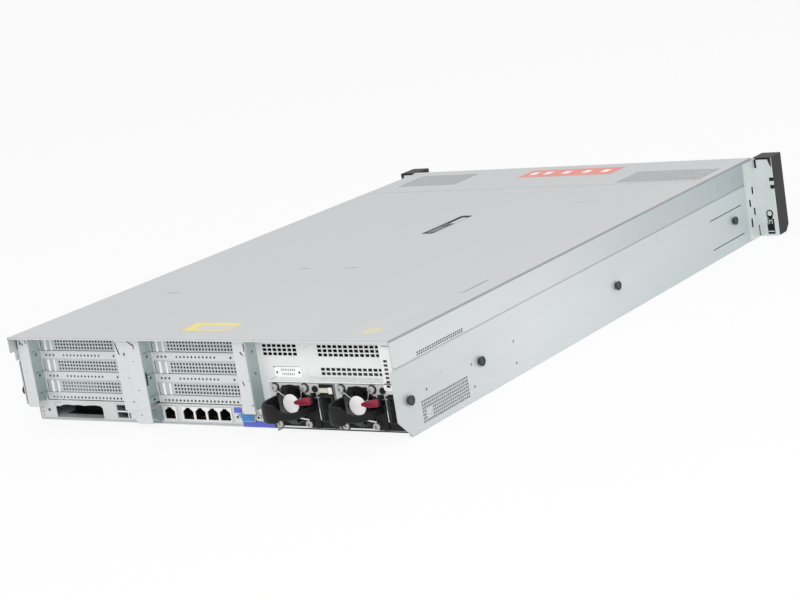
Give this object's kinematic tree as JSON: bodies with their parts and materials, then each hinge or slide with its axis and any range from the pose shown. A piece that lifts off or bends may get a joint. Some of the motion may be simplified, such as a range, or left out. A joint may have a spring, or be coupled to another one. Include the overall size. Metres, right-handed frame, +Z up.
{
  "type": "rack server",
  "caption": "Rack-mount server two rack units high, with a sliding service cover, slide-out power supplies, slotted riser cages, a row of fans and hot-plug drive bays",
  "frame": {"origin": "the middle of the underside of the tray", "axes": "+Z up, the drive bays face -Y, the sockets and power supplies face +Y, +X is to the left when seen from the rear"},
  "size_m": [0.4826, 0.7531, 0.0873],
  "materials": {
    "cover_steel": "satin zinc-coated sheet",
    "chassis_steel": "satin zinc-coated sheet",
    "panel_steel": "satin zinc-coated sheet",
    "dark_steel": "satin",
    "stud_steel": "dark zinc",
    "socket_shield": "bright",
    "blue_plastic": "satin",
    "black_plastic": "satin",
    "ear_plastic": "satin",
    "maroon_plastic": "satin",
    "board_green": "solder mask",
    "module_green": "solder mask",
    "fin_aluminium": "satin",
    "drive_aluminium": "satin",
    "baffle_plastic": "matt"
  },
  "bodies": {
    "chassis": {"chassis_tray": "chassis_steel", "rail_studs": "stud_steel", "front_top_cover": "cover_steel", "io_panel": "panel_steel", "usb_connector_stack": "socket_shield", "management_jack": "socket_shield", "lan_jack_block": "socket_shield", "video_connector": "blue_plastic", "vent_panel": "panel_steel", "serial_port_blank": "panel_steel", "riser_cage_1": "panel_steel", "riser_cage_2": "panel_steel", "riser_boards": "board_green", "psu_cage": "chassis_steel", "fan_cage": "chassis_steel", "fan_frames": "black_plastic", "system_board": "board_green", "memory_modules": "module_green", "cpu_heatsinks": "fin_aluminium", "air_baffle": "baffle_plastic", "drive_cage": "chassis_steel", "drive_backplane": "board_green", "drive_blanks": "ear_plastic", "slot_cover_1": "panel_steel", "slot_cover_2": "panel_steel", "slot_cover_3": "panel_steel", "slot_cover_4": "panel_steel", "slot_cover_5": "panel_steel", "slot_cover_6": "panel_steel", "ear_bracket_left": "chassis_steel", "ear_cover_left": "ear_plastic", "ear_bracket_right": "chassis_steel", "ear_cover_right": "ear_plastic"},
    "service_cover": {"access_panel": "cover_steel", "cover_latch_base": "dark_steel", "cover_latch_pin": "stud_steel"},
    "cover_lever": {"cover_latch_lever": "dark_steel"},
    "power_supply_1": {"psu_1_case": "panel_steel", "psu_1_handle": "black_plastic", "psu_1_inlet": "black_plastic"},
    "supply_fan_1": {"psu_1_fan": "black_plastic"},
    "supply_latch_1": {"psu_1_latch": "maroon_plastic"},
    "drive_1": {"drive_carrier_1": "ear_plastic", "hard_drive_1": "drive_aluminium"},
    "drive_lever_1": {"carrier_lever_1": "maroon_plastic"},
    "power_supply_2": {"psu_2_case": "panel_steel", "psu_2_handle": "black_plastic", "psu_2_inlet": "black_plastic"},
    "supply_fan_2": {"psu_2_fan": "black_plastic"},
    "supply_latch_2": {"psu_2_latch": "maroon_plastic"},
    "drive_2": {"drive_carrier_2": "ear_plastic", "hard_drive_2": "drive_aluminium"},
    "drive_lever_2": {"carrier_lever_2": "maroon_plastic"},
    "chassis_fan_1": {"fan_rotor_1": "black_plastic"},
    "chassis_fan_2": {"fan_rotor_2": "black_plastic"},
    "chassis_fan_3": {"fan_rotor_3": "black_plastic"},
    "chassis_fan_4": {"fan_rotor_4": "black_plastic"},
    "rack_latch_left": {"ear_latch_left": "ear_plastic"},
    "rack_latch_right": {"ear_latch_right": "ear_plastic"},
    "button": {"power_button": "ear_plastic"}
  },
  "joints": [
    {"name": "access_panel_slide", "type": "slide", "parent": "chassis", "child": "service_cover", "axis": [0, 1, 0], "range_m": [0, 0.012]},
    {"name": "cover_latch_hinge", "type": "hinge", "parent": "service_cover", "child": "cover_lever", "pos_m": [-0.0057, -0.0365, 0.0836], "axis": [-1, 0, 0], "range_deg": [0, 75]},
    {"name": "psu_1_slide", "type": "slide", "parent": "chassis", "child": "power_supply_1", "axis": [0, 1, 0], "range_m": [0, 0.19]},
    {"name": "psu_1_fan_spin", "type": "hinge", "parent": "power_supply_1", "child": "supply_fan_1", "pos_m": [-0.1002, 0.3285, 0.0263], "axis": [0, 1, 0], "continuous": true},
    {"name": "psu_1_latch_hinge", "type": "hinge", "parent": "power_supply_1", "child": "supply_latch_1", "pos_m": [-0.1244, 0.3315, 0.0328], "axis": [0, 0, -1], "range_deg": [0, 5], "stiffness_Nm_per_rad": 0.02},
    {"name": "psu_2_slide", "type": "slide", "parent": "chassis", "child": "power_supply_2", "axis": [0, 1, 0], "range_m": [0, 0.19]},
    {"name": "psu_2_fan_spin", "type": "hinge", "parent": "power_supply_2", "child": "supply_fan_2", "pos_m": [-0.171, 0.3285, 0.0263], "axis": [0, 1, 0], "continuous": true},
    {"name": "psu_2_latch_hinge", "type": "hinge", "parent": "power_supply_2", "child": "supply_latch_2", "pos_m": [-0.1952, 0.3315, 0.0328], "axis": [0, 0, -1], "range_deg": [0, 5], "stiffness_Nm_per_rad": 0.02},
    {"name": "fan_1_spin", "type": "hinge", "parent": "chassis", "child": "chassis_fan_1", "pos_m": [0.1605, -0.1375, 0.0428], "axis": [0, 1, 0], "continuous": true},
    {"name": "fan_2_spin", "type": "hinge", "parent": "chassis", "child": "chassis_fan_2", "pos_m": [0.0535, -0.1375, 0.0428], "axis": [0, 1, 0], "continuous": true},
    {"name": "fan_3_spin", "type": "hinge", "parent": "chassis", "child": "chassis_fan_3", "pos_m": [-0.0535, -0.1375, 0.0428], "axis": [0, 1, 0], "continuous": true},
    {"name": "fan_4_spin", "type": "hinge", "parent": "chassis", "child": "chassis_fan_4", "pos_m": [-0.1605, -0.1375, 0.0428], "axis": [0, 1, 0], "continuous": true},
    {"name": "drive_1_slide", "type": "slide", "parent": "chassis", "child": "drive_1", "axis": [0, -1, 0], "range_m": [0, 0.16]},
    {"name": "carrier_1_lever_hinge", "type": "hinge", "parent": "drive_1", "child": "drive_lever_1", "pos_m": [-0.2033, -0.3585, 0.0712], "axis": [0, 0, -1], "range_deg": [0, 60]},
    {"name": "drive_2_slide", "type": "slide", "parent": "chassis", "child": "drive_2", "axis": [0, -1, 0], "range_m": [0, 0.16]},
    {"name": "carrier_2_lever_hinge", "type": "hinge", "parent": "drive_2", "child": "drive_lever_2", "pos_m": [-0.0953, -0.3585, 0.0712], "axis": [0, 0, -1], "range_deg": [0, 60]},
    {"name": "ear_latch_left_hinge", "type": "hinge", "parent": "chassis", "child": "rack_latch_left", "pos_m": [0.226, -0.376, 0.048], "axis": [0, 0, -1], "range_deg": [0, 60]},
    {"name": "ear_latch_right_hinge", "type": "hinge", "parent": "chassis", "child": "rack_latch_right", "pos_m": [-0.226, -0.376, 0.048], "axis": [0, 0, 1], "range_deg": [0, 60]},
    {"name": "power_button_press", "type": "slide", "parent": "chassis", "child": "button", "axis": [0, 1, 0], "range_m": [0, 0.0015], "stiffness_N_per_m": 300}
  ],
  "couplings": [
    {"joint": "cover_latch_hinge", "follows": "access_panel_slide", "rad_per_m": 109}
  ]
}
